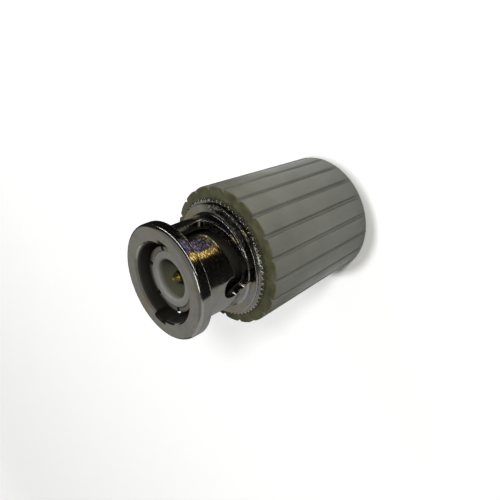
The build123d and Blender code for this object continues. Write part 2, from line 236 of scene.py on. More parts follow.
def nickelMaterial(name, plate):
    look = nickelLook
    material, shader = newMaterial(name, Metallic=1.0)
    tree = material.node_tree
    point = objectPoint(tree)
    rings, radius, z = turnedPoint(tree, point, look["turningPerRadian"])
    turning = noiseOn(tree, rings, look["turningPerMetre"], 4, 0.6)
    scratchPoint = turnedPoint(tree, point, look["scratchPerRadian"])[0]
    scratches = noiseOn(tree, scratchPoint, look["scratchPerMetre"], 6, 0.75)
    warm = ramp(tree, noiseOn(tree, point, look["stainPerMetre"], 3), *look["stainRamp"])
    cool = ramp(tree, noiseOn(tree, point, look["coolPerMetre"], 2), *look["coolRamp"])
    tinted = mixColour(tree, warm, plate["colour"], look["stain"])
    tinted = mixColour(tree, cool, tinted, look["cool"])
    # the pits are bumps with painted shade, dark dots in the colour, and the bumps between them glitter
    sparklePoint = turnedPoint(tree, point, look["sparklePerRadian"])[0]
    sparkle = noiseOn(tree, sparklePoint, look["sparklePerMetre"], 1)
    patch = pittedPatch(tree, point, plate["mouthLevel"])
    pitShadeMask = calc(tree, "MULTIPLY", ramp(tree, sparkle, *look["pitRamp"]), patch)
    pitShadeColour = tuple(level * look["pitShade"] for level in plate["colour"])
    pitShaded = mixColour(tree, pitShadeMask, tinted, pitShadeColour)
    # painted shade: the inside takes the dark insideShade colour
    inside = shadedInside(tree, radius, z, plate)
    coloured = mixColour(tree, inside, pitShaded, look["insideShade"])
    tree.links.new(coloured, shader.inputs["Base Color"])
    metal = calc(tree, "MULTIPLY_ADD", inside, look["insideMetal"] - 1.0, 1.0)
    tree.links.new(metal, shader.inputs["Metallic"])
    polished = polish(tree, scratches, plate["gloss"], plate["haze"])
    rough = calc(tree, "MULTIPLY_ADD", inside, look["insideHaze"], polished)
    tree.links.new(rough, shader.inputs["Roughness"])
    under = bumpOn(tree, shader, turning, look["turningDepth"])
    under = bumpOn(tree, shader, calc(tree, "MULTIPLY", sparkle, patch), look["sparkleDepth"], under)
    bumpOn(tree, shader, scratches, look["scratchDepth"], under)
    return material


# Grip plastic: mottled sides with painted shade that darkens them to the rear, and a stained olive front face
gripLook = {
    "colour": (0.153, 0.156, 0.134),
    "dark": (0.124, 0.126, 0.107),
    "rearShade": (0.109, 0.111, 0.095),
    "rearShadeRamp": ((0.0, 1), (0.75, 0)),
    "mottlePerMetre": 260,
    "mottleRamp": ((0.3, 0), (0.75, 1)),
    "faceColour": (0.126, 0.124, 0.071),
    "faceDark": (0.066, 0.064, 0.034),
    "faceFade": 0.45 * mm,
    "faceRamp": ((0.5, 0), (0.95, 1)),
    "stainPerMetre": 700,
    "stainRamp": ((0.35, 0), (0.68, 1)),
    "gloss": 0.36,
    "haze": 0.5,
    "grainPerMetre": 9000,
    "grainDepth": 0.006 * mm,
}


def gripMaterial():
    look = gripLook
    material, shader = newMaterial("gripPlastic", IOR=1.5, Specular_IOR_Level=0.36)
    tree = material.node_tree
    point = objectPoint(tree)
    z = axesOf(tree, point)["Z"]
    mottle = noiseOn(tree, point, look["mottlePerMetre"], 4)
    body = mixColour(tree, ramp(tree, mottle, *look["mottleRamp"]), look["colour"], look["dark"])
    # painted shade: the sides darken towards the rear end
    rear = ramp(tree, calc(tree, "DIVIDE", z, gripTopZ), *look["rearShadeRamp"])
    body = mixColour(tree, rear, body, look["rearShade"])
    stains = ramp(tree, noiseOn(tree, point, look["stainPerMetre"], 3, 0.6), *look["stainRamp"])
    face = mixColour(tree, stains, look["faceColour"], look["faceDark"])
    height = calc(tree, "SUBTRACT", z, gripTopZ - look["faceFade"])
    onFace = ramp(tree, calc(tree, "DIVIDE", height, look["faceFade"]), *look["faceRamp"])
    tree.links.new(mixColour(tree, onFace, body, face), shader.inputs["Base Color"])
    rough = ramp(tree, mottle, (0.2, look["gloss"]), (0.8, look["haze"]))
    tree.links.new(rough, shader.inputs["Roughness"])
    grain = noiseOn(tree, point, look["grainPerMetre"], 3, 0.6)
    bumpOn(tree, shader, grain, look["grainDepth"])
    return material


# Other plastics and metals; clouds of colour are cloudWidth times as wide as the grain
plasticLook = {
    "cloudWidth": 6,
    "cloudRamp": ((0.3, 0), (0.8, 1)),
    "perRadian": 2.0 * mm,
    "subsurfaceScale": 0.6 * mm,
}
metalLook = {
    "cloudWidth": 8,
    "cloudRamp": ((0.35, 0), (0.75, 1)),
    "perRadian": 0.6 * mm,
}
# Painted shade that darkens the insulator's bore with depth
insulatorBoreShade = {
    "radius": 2.65 * mm,
    "level": insulatorHigh.z - 0.15 * mm,
    "fade": 0.12 * mm,
    "depthFade": 0.7 * mm,
    "shade": (0.100, 0.103, 0.068),
}


def plasticMaterial(name, colour, shade, roughness, perMetre, depth, subsurface=0.0, bore=None):
    material, shader = newMaterial(
        name, Roughness=roughness, Subsurface_Weight=subsurface,
        Subsurface_Scale=plasticLook["subsurfaceScale"])
    tree = material.node_tree
    point = objectPoint(tree)
    cloud = noiseOn(tree, point, perMetre / plasticLook["cloudWidth"], 3)
    rings, radius, z = turnedPoint(tree, point, plasticLook["perRadian"])
    mixed = mixColour(tree, ramp(tree, cloud, *plasticLook["cloudRamp"]), colour, shade)
    if bore:
        # painted shade deep in the bore
        boreShadeMask = insideMask(tree, radius, z, bore["radius"], bore["level"], bore["fade"], bore["depthFade"])
        mixed = mixColour(tree, boreShadeMask, mixed, bore["shade"])
    tree.links.new(mixed, shader.inputs["Base Color"])
    bumpOn(tree, shader, noiseOn(tree, rings, perMetre, 3), depth)
    return material


def metalMaterial(name, colour, shade, gloss, haze, perMetre, depth, perRadian=metalLook["perRadian"]):
    material, shader = newMaterial(name, Metallic=1.0)
    tree = material.node_tree
    point = objectPoint(tree)
    cloud = noiseOn(tree, point, perMetre / metalLook["cloudWidth"], 3)
    mixed = mixColour(tree, ramp(tree, cloud, *metalLook["cloudRamp"]), colour, shade)
    tree.links.new(mixed, shader.inputs["Base Color"])
    marks = noiseOn(tree, turnedPoint(tree, point, perRadian)[0], perMetre, 4, 0.6)
    tree.links.new(polish(tree, marks, gloss, haze), shader.inputs["Roughness"])
    bumpOn(tree, shader, marks, depth)
    return material


nickel = nickelMaterial("nickelPlate", nutPlate)
contactNickel = nickelMaterial("contactNickel", contactPlate)
gripPlastic = gripMaterial()
# white fluoroplastic given a dark grey colour: painted shade of the mouth
fluoroplastic = plasticMaterial(
    "fluoroplastic", colour=(0.27, 0.27, 0.255), shade=(0.225, 0.225, 0.205), roughness=0.36,
    perMetre=2400, depth=0.003 * mm, subsurface=0.1, bore=insulatorBoreShade)
gasketRubber = plasticMaterial(
    "gasketRubber", colour=(0.25, 0.10, 0.07), shade=(0.17, 0.06, 0.045), roughness=0.62,
    perMetre=3200, depth=0.006 * mm)
ceramicBody = plasticMaterial(
    "ceramicBody", colour=(0.50, 0.62, 0.60), shade=(0.43, 0.55, 0.54), roughness=0.40,
    perMetre=2800, depth=0.004 * mm)
goldPlate = metalMaterial(
    "goldPlate", colour=(0.78, 0.62, 0.15), shade=(0.55, 0.44, 0.10), gloss=0.22, haze=0.36,
    perMetre=3600, depth=0.003 * mm)
springSteel = metalMaterial(
    "springSteel", colour=(0.52, 0.52, 0.52), shade=(0.42, 0.41, 0.40), gloss=0.26, haze=0.42,
    perMetre=3000, depth=0.003 * mm)
tinnedWire = metalMaterial(
    "tinnedWire", colour=(0.70, 0.70, 0.68), shade=(0.60, 0.60, 0.58), gloss=0.24, haze=0.40,
    perMetre=2600, depth=0.004 * mm, perRadian=3.0 * mm)
softSolder = metalMaterial(
    "softSolder", colour=(0.72, 0.72, 0.70), shade=(0.56, 0.56, 0.55), gloss=0.16, haze=0.36,
    perMetre=1800, depth=0.008 * mm, perRadian=4.0 * mm)
print("materials made")


# Small tools for meshes
def roundedOutline(corners, arcSteps):
    # corners: (across, height, bend radius)
    points = []
    for i, (across, height, bend) in enumerate(corners):
        here = Vector((across, height))
        if not bend:
            points.append(here)
            continue
        back = (Vector(corners[i - 1][:2]) - here).normalized()
        ahead = (Vector(corners[(i + 1) % len(corners)][:2]) - here).normalized()
        half = back.angle(ahead) / 2
        centre = here + (back + ahead).normalized() * bend / math.sin(half)
        start = here + back * bend / math.tan(half) - centre
        turn = start.angle_signed(here + ahead * bend / math.tan(half) - centre)
        for k in range(arcSteps + 1):
            points.append(centre + Matrix.Rotation(-turn * k / arcSteps, 2) @ start)
    return points


def arcPoints(centre, radius, start, end, steps):
    turns = [math.radians(start + (end - start) * k / steps) for k in range(steps + 1)]
    return [centre + radius * Vector((math.cos(t), math.sin(t))) for t in turns]


def splitRuns(points, longest, closed=True):
    finer = []
    for i, point in enumerate(points):
        finer.append(point)
        if i == len(points) - 1 and not closed:
            break
        ahead = points[(i + 1) % len(points)]
        parts = math.ceil((ahead - point).length / longest)
        finer += [point.lerp(ahead, k / parts) for k in range(1, parts)]
    return finer


def evenAngles(count):
    return [2 * math.pi * k / count for k in range(count)]


def atAngle(point, angle):
    # a point (radius, height), turned about Z
    return (point[0] * math.cos(angle), point[0] * math.sin(angle), point[1])


def joinRows(solid, lower, upper, closed=True):
    count = len(lower)
    for i in range(count if closed else count - 1):
        k = (i + 1) % count
        solid.faces.new((lower[i], lower[k], upper[k], upper[i]))


def newObject(name, data):
    made = bpy.data.objects.new(name, data)
    scene.collection.objects.link(made)
    return made


def objectFrom(solid, name, outward=True):
    if outward:
        bmesh.ops.recalc_face_normals(solid, faces=solid.faces)
    mesh = bpy.data.meshes.new(name)
    solid.to_mesh(mesh)
    solid.free()
    return newObject(name, mesh)


def turned(name, outline, angles):
    # outline is closed and lies clear of the axis, or starts and ends on it
    solid = bmesh.new()
    onAxis = [abs(p[0]) < 1e-9 for p in outline]
    columns = []
    poles = {i: solid.verts.new((0, 0, p[1])) for i, p in enumerate(outline) if onAxis[i]}
    for angle in angles:
        columns.append([
            poles[i] if onAxis[i] else solid.verts.new(atAngle(p, angle))
            for i, p in enumerate(outline)
        ])
    steps = len(outline) - (1 if any(onAxis) else 0)
    for column, following in zip(columns, columns[1:] + columns[:1]):
        for i in range(steps):
            k = (i + 1) % len(outline)
            corners = list(dict.fromkeys((column[i], following[i], following[k], column[k])))
            solid.faces.new(corners)
    return objectFrom(solid, name)


def plainMesh(made, sharpAngle=35):
    # keeps what the modifiers make, as a plain mesh
    evaluated = made.evaluated_get(bpy.context.evaluated_depsgraph_get())
    result = bpy.data.meshes.new_from_object(evaluated)
    made.modifiers.clear()
    made.data = result
    result.name = made.name
    result.shade_smooth()
    result.set_sharp_from_angle(angle=math.radians(sharpAngle))
    return made


# Geometry Nodes trees and their tools
def setInput(modifier, name, value):
    for item in modifier.node_group.interface.items_tree:
        if item.item_type == "SOCKET" and item.in_out == "INPUT" and item.name == name:
            modifier[item.identifier] = value
            return
    raise KeyError(name)


def addTree(made, tree, values):
    modifier = made.modifiers.new(tree.name, "NODES")
    modifier.node_group = tree
    for label, value in values.items():
        setInput(modifier, label, value)


def newTree(name, inputs):
    tree = bpy.data.node_groups.new(name, "GeometryNodeTree")
    tree.interface.new_socket("Geometry", in_out="INPUT", socket_type="NodeSocketGeometry")
    for label, kind in inputs:
        tree.interface.new_socket(label, in_out="INPUT", socket_type="NodeSocket" + kind)
    tree.interface.new_socket("Geometry", in_out="OUTPUT", socket_type="NodeSocketGeometry")
    return tree, tree.nodes.new("NodeGroupInput").outputs, tree.nodes.new("NodeGroupOutput").inputs


def endTree(tree, geometry, material, result):
    real = addNode(tree, "GeometryNodeRealizeInstances", {0: geometry}).outputs[0]
    dressed = addNode(tree, "GeometryNodeSetMaterial", {"Geometry": real, "Material": material})
    tree.links.new(dressed.outputs[0], result[0])


def ringOfCopies(tree, part, copies, firstAngle):
    # copies of one part, turned about Z in even steps
    step = calc(tree, "DIVIDE", 2 * math.pi, copies)
    index = tree.nodes.new("GeometryNodeInputIndex").outputs[0]
    angle = calc(tree, "MULTIPLY_ADD", index, step, firstAngle)
    turn = addNode(tree, "FunctionNodeAxisAngleToRotation", {"Axis": (0, 0, 1), "Angle": angle}).outputs[0]
    points = addNode(tree, "GeometryNodePoints", {"Count": copies}).outputs[0]
    inputs = {"Points": points, "Instance": part, "Rotation": turn}
    return addNode(tree, "GeometryNodeInstanceOnPoints", inputs).outputs[0]


def copiesTree():
    inputs = [("Copies", "Int"), ("First Angle", "Float"), ("Material", "Material")]
    tree, given, result = newTree("copiesAround", inputs)
    ring = ringOfCopies(tree, given["Geometry"], given["Copies"], given["First Angle"])
    endTree(tree, ring, given["Material"], result)
    return tree


def cutTree():
    inputs = [("Cutter", "Object"), ("Copies", "Int"), ("First Angle", "Float"), ("Material", "Material")]
    tree, given, result = newTree("cutAround", inputs)
    cutter = addNode(tree, "GeometryNodeObjectInfo", {"Object": given["Cutter"]}).outputs["Geometry"]
    ring = ringOfCopies(tree, cutter, given["Copies"], given["First Angle"])
    real = addNode(tree, "GeometryNodeRealizeInstances", {0: ring}).outputs[0]
    meshes = {"Mesh 1": given["Geometry"], "Mesh 2": real}
    cut = addNode(tree, "GeometryNodeMeshBoolean", meshes, operation="DIFFERENCE", solver="EXACT")
    endTree(tree, cut.outputs[0], given["Material"], result)
    return tree


copiesAround = copiesTree()
cutAround = cutTree()

# Grip: turned sleeve whose ribs and grooves follow a rule of angle
grip = {
    "ribs": 20,
    "firstRibAngle": 8.2,
    "frontRadius": 9.16 * mm,
    "rearRadius": 8.32 * mm,
    "grooveDepth": 0.32 * mm,
    "grooveWidth": 0.70 * mm,
    "grooveFloor": 0.14 * mm,
    "ribCrown": 0.09 * mm,
    "flareLength": 0.9 * mm,
    "flareWidth": 1.15,
    "flareDepth": 1.12,
    "flareCrown": 2.2,
    "fadeStart": 0.10 * mm,
    "fadeEnd": 1.3 * mm,
    "frontEdge": 0.20 * mm,
    "rearEdge": 0.60 * mm,
    "boreRadius": 7.08 * mm,
    "boreEdge": 0.08 * mm,
    "chamberRadius": 6.40 * mm,
    "rearWall": 1.60 * mm,
    "sideStep": 0.45 * mm,
    "flankColumns": 18,
    "crownColumns": 6,
    "flankReach": 1.05,
}
firstGroove = math.radians(grip["firstRibAngle"]) - math.pi / grip["ribs"]
fluteSizes = {
    "Groove Angle": firstGroove,
    "Groove Depth": grip["grooveDepth"],
    "Groove Width": grip["grooveWidth"],
    "Groove Floor": grip["grooveFloor"],
    "Rib Crown": grip["ribCrown"],
    "Rear Radius": grip["rearRadius"],
    "Taper": (grip["frontRadius"] - grip["rearRadius"]) / gripTopZ,
    "Front Height": gripTopZ,
    "Flare Length": grip["flareLength"],
    "Flare Width": grip["flareWidth"],
    "Flare Depth": grip["flareDepth"],
    "Flare Crown": grip["flareCrown"],
    "Fade Start": grip["fadeStart"],
    "Fade End": grip["fadeEnd"],
}


def fluteTree():
    inputs = [("Ribs", "Int"), ("Material", "Material")] + [(label, "Float") for label in fluteSizes]
    tree, given, result = newTree("flutedSleeve", inputs)

    def rise(value, low, high):
        limits = {"Value": value, "From Min": low, "From Max": high}
        return addNode(tree, "ShaderNodeMapRange", limits, interpolation_type="SMOOTHSTEP").outputs[0]

    x, y, z = axesOf(tree, tree.nodes.new("GeometryNodeInputPosition").outputs[0])
    radius = axisDistance(tree, x, y)
    # turn: way from the nearest groove
    pitch = calc(tree, "DIVIDE", 2 * math.pi, given["Ribs"])
    shifted = calc(tree, "SUBTRACT", calc(tree, "ARCTAN2", y, x), given["Groove Angle"])
    nearest = calc(tree, "MULTIPLY", calc(tree, "ROUND", calc(tree, "DIVIDE", shifted, pitch)), pitch)
    turn = calc(tree, "ABSOLUTE", calc(tree, "SUBTRACT", shifted, nearest))
    crest = calc(tree, "MULTIPLY_ADD", z, given["Taper"], given["Rear Radius"])
    across = calc(tree, "MULTIPLY", turn, crest)
    # grooves widen towards the front and run out before the rear edge
    flareStart = calc(tree, "SUBTRACT", given["Front Height"], given["Flare Length"])
    front = rise(z, flareStart, given["Front Height"])
    kept = rise(z, given["Fade Start"], given["Fade End"])

    def flared(size, factor):
        extra = calc(tree, "MULTIPLY", front, calc(tree, "SUBTRACT", factor, 1.0))
        return calc(tree, "MULTIPLY_ADD", size, extra, size)

    halfWidth = calc(tree, "MULTIPLY", flared(given["Groove Width"], given["Flare Width"]), 0.5)
    halfFloor = calc(tree, "MULTIPLY", given["Groove Floor"], 0.5)
    flank = calc(tree, "SUBTRACT", 1.0, rise(across, halfFloor, halfWidth))
    depth = calc(tree, "MULTIPLY", flank, flared(given["Groove Depth"], given["Flare Depth"]))
    halfPitch = calc(tree, "MULTIPLY", pitch, 0.5)
    toMiddle = calc(tree, "SUBTRACT", 1.0, calc(tree, "DIVIDE", turn, halfPitch))
    crownDepth = flared(given["Rib Crown"], given["Flare Crown"])
    crown = calc(tree, "MULTIPLY", calc(tree, "POWER", toMiddle, 2.0), crownDepth)
    fall = calc(tree, "MULTIPLY", calc(tree, "ADD", depth, crown), kept)
    limit = calc(tree, "MINIMUM", radius, calc(tree, "SUBTRACT", crest, fall))
    share = calc(tree, "DIVIDE", limit, calc(tree, "MAXIMUM", radius, 1e-6))
    placed = {0: calc(tree, "MULTIPLY", x, share), 1: calc(tree, "MULTIPLY", y, share), 2: z}
    position = addNode(tree, "ShaderNodeCombineXYZ", placed).outputs[0]
    moved = addNode(tree, "GeometryNodeSetPosition", {"Geometry": given["Geometry"], "Position": position})
    endTree(tree, moved.outputs[0], given["Material"], result)
    return tree


def grooveAngles():
    # columns crowd together at each groove, so that its flanks are smooth
    pitch = 2 * math.pi / grip["ribs"]
    half = grip["grooveWidth"] / 2 * grip["flareWidth"] / grip["frontRadius"] * grip["flankReach"]
    flankSteps, crownSteps = grip["flankColumns"], grip["crownColumns"]
    flank = [-half + 2 * half * k / flankSteps for k in range(flankSteps + 1)]
    crown = [half + (pitch - 2 * half) * k / crownSteps for k in range(1, crownSteps)]
    return [firstGroove + pitch * rib + offset for rib in range(grip["ribs"]) for offset in flank + crown]


def makeGrip():
    outline = roundedOutline([
        (0, 0, 0),
        (grip["rearRadius"], 0, grip["rearEdge"]),
        (grip["frontRadius"], gripTopZ, grip["frontEdge"]),
        (grip["boreRadius"], gripTopZ, grip["boreEdge"]),
        (grip["boreRadius"], nutRearZ, 0),
        (grip["chamberRadius"], nutRearZ, 0),
        (grip["chamberRadius"], grip["rearWall"], 0),
        (0, grip["rearWall"], 0),
    ], arcSteps=8)
    made = turned("gripShell", splitRuns(outline, grip["sideStep"], closed=False), grooveAngles())
    addTree(made, fluteTree(), {"Ribs": grip["ribs"], "Material": gripPlastic, **fluteSizes})
    return plainMesh(made, sharpAngle=50)


gripShell = makeGrip()
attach(gripShell, "coupling")
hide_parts("grip_sleeve")
print("grip made:", len(gripShell.data.polygons), "faces")

# Coupling nut: turned body, then entry grooves and cam slots cut twice
nut = {
    "rimRadius": 7.25 * mm,
    "rimLength": 1.7 * mm,
    "rimFrontEdge": 0.55 * mm,
    "rimRearEdge": 0.2 * mm,
    "barrelRadius": 6.0 * mm,
    "barrelFillet": 0.4 * mm,
    "flangeRadius": 7.26 * mm,
    "flangeLength": 0.55 * mm,
    "flangeEdge": 0.15 * mm,
    "knurlRadius": 7.75 * mm,
    "knurlLength": 0.75 * mm,
    "knurlTeeth": 66,
    "knurlDepth": 0.30 * mm,
    "knurlLand": 0.12 * mm,
    "knurlEdge": 0.15 * mm,
    "shankRadius": 7.05 * mm,
    "boreRadius": 4.9 * mm,
    "mouthChamfer": 0.38 * mm,
    "rearBoreRadius": 6.15 * mm,
    "smallEdge": 0.06 * mm,
    "columns": 240,
    "step": 0.5 * mm,
}
camSlot = {
    "width": 2.15 * mm,
    "firstAngle": 315,
    "windowDepth": 2.75 * mm,
    "windowCorner": 0.35 * mm,
    "bendDepth": 5.9 * mm,
    "bendFillet": 1.5 * mm,
    "lead": 8.0 * mm,
    "rampTurn": 65,
    "endTurn": 83,
    "pocketTurn": 86,
    "pocketDepth": 6.0 * mm,
    "pocketRadius": 1.4 * mm,
    "pocketSteps": 22,
    "toothRadius": 0.22 * mm,
    "wallTurn": 175,  # just short of 180, where an arc would touch the straight wall
    "edge": 0.06 * mm,
    "edgeTurns": (0, 25, 50, 75),
    "pivotRate": 3.0,
    "grooveRadius": 5.7 * mm,
    "grooveSlack": 0.02 * mm,
    "overcut": 0.5 * mm,
    "step": 0.28 * mm,
    "fillStep": 0.5 * mm,
}


def camOutline():
    # way along the slot on the barrel's surface and depth behind the mouth
    half = camSlot["width"] / 2
    radius = nut["barrelRadius"]
    bendDepth = camSlot["bendDepth"]
    pocketRadius = camSlot["pocketRadius"]
    slope = camSlot["lead"] / (2 * math.pi * radius)
    rampEnd = math.radians(camSlot["rampTurn"]) * radius
    levelDepth = bendDepth + slope * rampEnd
    endCentre = Vector((math.radians(camSlot["endTurn"]) * radius, levelDepth))
    pocket = Vector((math.radians(camSlot["pocketTurn"]) * radius, camSlot["pocketDepth"]))
    pocketLeft = pocket.x - math.sqrt(pocketRadius ** 2 - (levelDepth - half - pocket.y) ** 2)
    front = roundedOutline([
        (-half, bendDepth, 0),
        (-half, camSlot["windowDepth"], camSlot["windowCorner"]),
        (half, camSlot["windowDepth"], camSlot["windowCorner"]),
        (half, bendDepth + slope * half - half, camSlot["bendFillet"]),
        (rampEnd, levelDepth - half, half),
        (pocketLeft, levelDepth - half, camSlot["toothRadius"]),
        (pocketLeft, pocket.y, 0),
    ], arcSteps=6)[:-1]
    # meeting: where the pocket's arc crosses the arc that ends the slot
    gap = (endCentre - pocket).length
    reach = (pocketRadius ** 2 - half ** 2 + gap ** 2) / (2 * gap)
    away = (endCentre - pocket).normalized()
    aside = math.sqrt(pocketRadius ** 2 - reach ** 2)
    meeting = pocket + away * reach + Vector((away.y, -away.x)) * aside
    pocketStop = math.degrees(math.atan2(meeting.y - pocket.y, meeting.x - pocket.x))
    endStart = math.degrees(math.atan2(meeting.y - endCentre.y, meeting.x - endCentre.x))
    bendStart = 90 + math.degrees(math.atan(slope))
    wallTurn = camSlot["wallTurn"]
    pocketArc = arcPoints(pocket, pocketRadius, -wallTurn, pocketStop, camSlot["pocketSteps"])
    endArc = arcPoints(endCentre, half, endStart, 90, steps=8)
    bendArc = arcPoints(Vector((0, bendDepth)), half, bendStart, wallTurn, steps=8)
    rear = [Vector((rampEnd, levelDepth + half))]

    def pivotOf(x):
        # walls stay parallel in the straight part, radial along the ramp and round about the pocket's middle
        onRamp = max(0.0, min(x, camSlot["pivotRate"] * (x - half)))
        return min(pocket.x, max(onRamp, pocket.x - camSlot["pivotRate"] * (pocketLeft - x)))

    return splitRuns(front + pocketArc + endArc[1:] + rear + bendArc, camSlot["step"]), pivotOf


def outwardOf(points):
    count = len(points)
    outward = []
    for i in range(count):
        along = (points[(i + 1) % count] - points[i - 1]).normalized()
        outward.append(Vector((along.y, -along.x)))
    area = sum(points[i - 1].cross(points[i]) for i in range(count))
    return [-n for n in outward] if area < 0 else outward


def camRings():
    # (radius, offset): a plain hole through the wall, which widens at the outside as a rounded edge does
    edge = camSlot["edge"]
    radius = nut["barrelRadius"]
    rings = [(nut["boreRadius"] - camSlot["overcut"], 0.0)]
    for turn in camSlot["edgeTurns"]:
        t = math.radians(turn)
        rings.append((radius - edge + edge * math.sin(t), edge - edge * math.cos(t)))
    flare = rings[-1][1] + edge * math.sin(t)
    rings.append((radius + edge * math.cos(t), flare))
    rings.append((radius + camSlot["overcut"], flare))
    return rings


def gridOver(points, step):
    low = Vector((min(p.x for p in points), min(p.y for p in points)))
    high = Vector((max(p.x for p in points), max(p.y for p in points)))
    return [
        Vector((low.x + step * i, low.y + step * j))
        for i in range(1, int((high.x - low.x) / step) + 1)
        for j in range(1, int((high.y - low.y) / step) + 1)
    ]


def camCutter():
    points, pivotOf = camOutline()
    count = len(points)
    outward = outwardOf(points)
    rings = camRings()

    def place(point, ringRadius):
        pivot = pivotOf(point.x)
        angle = -(pivot / nut["barrelRadius"] + (point.x - pivot) / ringRadius)
        return atAngle((ringRadius, mouthZ - point.y), angle)

    solid = bmesh.new()
    loops = []
    for ringRadius, offset in rings:
        shifted = [p + n * offset for p, n in zip(points, outward)]
        loops.append([solid.verts.new(place(p, ringRadius)) for p in shifted])
    for lower, upper in zip(loops, loops[1:]):
        joinRows(solid, lower, upper)
    # both ends follow the barrel's curve, so they are filled with small triangles
    scaled = [Vector(p) / mm for p in points + gridOver(points, camSlot["fillStep"])]
    border = [(i, (i + 1) % count) for i in range(count)]
    insideOnly, merge = 1, 1e-5
    corners, _, triangles, sources, _, _ = delaunay_2d_cdt(scaled, border, [], insideOnly, merge)
    for loop, ringRadius in ((loops[0], rings[0][0]), (loops[-1], rings[-1][0])):
        placed = []
        for corner, source in zip(corners, sources):
            known = [s for s in source if s < count]
            if known:
                placed.append(loop[known[0]])
            else:
                placed.append(solid.verts.new(place(corner * mm, ringRadius)))
        for triangle in triangles:
            solid.faces.new([placed[i] for i in triangle])
    loose = [v for v in solid.verts if not v.link_faces]
    bmesh.ops.delete(solid, geom=loose, context="VERTS")
    return objectFrom(solid, "camCutter")


def grooveCutter():
    # one bar across the bore with round ends, which leaves an entry groove at each side
    radius = camSlot["grooveRadius"]
    reach = math.asin((camSlot["width"] / 2 - camSlot["grooveSlack"]) / radius)
    turns = (-reach, -reach / 2, 0, reach / 2, reach)
    right = [Vector((radius * math.cos(t), radius * math.sin(t))) for t in turns]
    outline = right + [-p for p in right]
    solid = bmesh.new()
    ends = (mouthZ - camSlot["bendDepth"], mouthZ + camSlot["overcut"])
    layers = [[solid.verts.new((p.x, p.y, z)) for p in outline] for z in ends]
    solid.faces.new(layers[0])
    solid.faces.new(layers[1])
    joinRows(solid, *layers)
    return objectFrom(solid, "grooveCutter")


def makeNut():
    rimRear = mouthZ - nut["rimLength"]
    knurlTop = gripTopZ + nut["knurlLength"]
    flangeTop = knurlTop + nut["flangeLength"]
    core = nut["knurlRadius"] - nut["knurlDepth"]
    small = nut["smallEdge"]
    outline = roundedOutline([
        (nut["boreRadius"], shoulderZ, 0),
        (nut["boreRadius"], mouthZ - nut["mouthChamfer"], small),
        (nut["boreRadius"] + nut["mouthChamfer"], mouthZ, small),
        (nut["rimRadius"], mouthZ, nut["rimFrontEdge"]),
        (nut["rimRadius"], rimRear, nut["rimRearEdge"]),
        (nut["barrelRadius"], rimRear, small),
        (nut["barrelRadius"], flangeTop, nut["barrelFillet"]),
        (nut["flangeRadius"], flangeTop, nut["flangeEdge"]),
        (nut["flangeRadius"], knurlTop, 0),
        (core, knurlTop, small),
        (core, gripTopZ, 0),
        (nut["shankRadius"], gripTopZ, 0),
        (nut["shankRadius"], nutRearZ, small),
        (nut["rearBoreRadius"], nutRearZ, small),
        (nut["rearBoreRadius"], shoulderZ, 0),
    ], arcSteps=6)
    made = turned("nutBody", splitRuns(outline, nut["step"]), evenAngles(nut["columns"]))
    slots, grooves = camCutter(), grooveCutter()
    firstAngle = math.radians(camSlot["firstAngle"])
    for cutter, copies in ((grooves, 1), (slots, 2)):
        values = {"Cutter": cutter, "Copies": copies, "First Angle": firstAngle, "Material": nickel}
        addTree(made, cutAround, values)
    plainMesh(made)
    for cutter in (slots, grooves):
        bpy.data.objects.remove(cutter)
    return made


def makeKnurl():
    # one tooth on the +X side, with its ends chamfered
    halfPitch = math.pi * nut["knurlRadius"] / nut["knurlTeeth"]
    depth = nut["knurlDepth"]
    floor = nut["knurlRadius"] - depth
    foot = floor - nut["smallEdge"]
    land = nut["knurlLand"] / 2
    edge = nut["knurlEdge"]
    # (way across, share of the depth) and (way up, share of the depth)
    shape = [(-halfPitch, 0.0), (-halfPitch * 0.55, 0.42), (-land * 2, 0.84), (-land, 0.97), (0.0, 1.0)]
    shape += [(-across, height) for across, height in reversed(shape[:-1])]
    levels = [(0, 0.45), (edge * 0.4, 0.8), (edge, 1.0)]
    levels += [(nut["knurlLength"] - up, height) for up, height in reversed(levels)]
    solid = bmesh.new()
    rows = []
    for up, height in levels:
        z = gripTopZ + up
        row = [solid.verts.new((foot, shape[0][0], z))]
        row += [solid.verts.new((floor + depth * rise * height, across, z)) for across, rise in shape]
        row += [solid.verts.new((foot, shape[-1][0], z))]
        rows.append(row)
    for lower, upper in zip(rows, rows[1:]):
        joinRows(solid, lower, upper)
    solid.faces.new(rows[0])
    solid.faces.new(rows[-1])
    made = objectFrom(solid, "knurlTeeth")
    addTree(made, copiesAround, {"Copies": nut["knurlTeeth"], "First Angle": 0.0, "Material": nickel})
    return plainMesh(made, sharpAngle=40)


nutBody = makeNut()
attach(nutBody, "coupling")
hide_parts("coupling_nut")
knurlTeeth = makeKnurl()
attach(knurlTeeth, "coupling")
print("nut made:", len(nutBody.data.polygons), "faces, knurl:", len(knurlTeeth.data.polygons), "faces")

# Slotted contact, insulator and pin in the mouth
contact = {
    "rootRadius": 4.06 * mm,
    "tipRadius": 4.2 * mm,
    "tipLength": 0.9 * mm,
    "wall": 0.5 * mm,
    "edge": 0.12 * mm,
    "slots": 6,
    "firstSlotAngle": 41.5,
    "slotWidth": 0.5 * mm,
    "slotLength": 5.6 * mm,
    "columns": 144,
    "step": 0.6 * mm,
}


